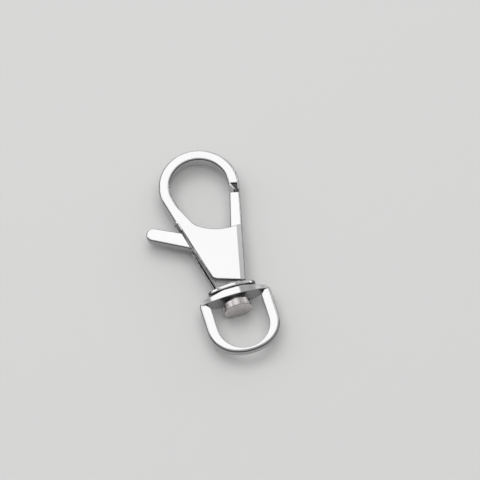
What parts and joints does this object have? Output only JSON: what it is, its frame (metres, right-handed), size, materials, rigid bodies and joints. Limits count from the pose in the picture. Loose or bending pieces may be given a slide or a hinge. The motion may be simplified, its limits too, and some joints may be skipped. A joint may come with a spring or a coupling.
{
  "type": "swivel snap hook",
  "caption": "Cast swivel snap hook: a teardrop loop closed by a sprung gate with a thumb lever, on a D-shaped bail that turns on a riveted stud.",
  "frame": {"origin": "inside end of the D-shaped bow, on the swivel axis and in the middle of its thickness", "axes": "+Y along the swivel axis towards the hook loop, +Z out of the front face, +X towards the gate arm"},
  "size_m": [0.0174, 0.0371, 0.0048],
  "materials": {
    "polished_plate": "polished",
    "gate_plate": "polished",
    "bail_plate": "polished",
    "stud_metal": "satin",
    "pin_metal": "satin",
    "spring_wire": "satin"
  },
  "bodies": {
    "hook": {"hook_body": "polished_plate", "pivot_pin": "pin_metal", "gate_spring": "spring_wire", "swivel_stud": "stud_metal"},
    "gate": {"gate_lever": "gate_plate"},
    "bail": {"swivel_bail": "bail_plate"}
  },
  "joints": [
    {"name": "gate_hinge", "type": "hinge", "parent": "hook", "child": "gate", "pos_m": [0.0013, 0.0177, 0], "axis": [0, 0, 1], "range_deg": [0, 25], "stiffness_Nm_per_rad": 0.04, "springref_deg": -14.32, "deforming": ["gate_spring"]},
    {"name": "bail_swivel", "type": "hinge", "parent": "hook", "child": "bail", "pos_m": [0, 0.0095, 0], "axis": [0, 1, 0], "continuous": true}
  ]
}
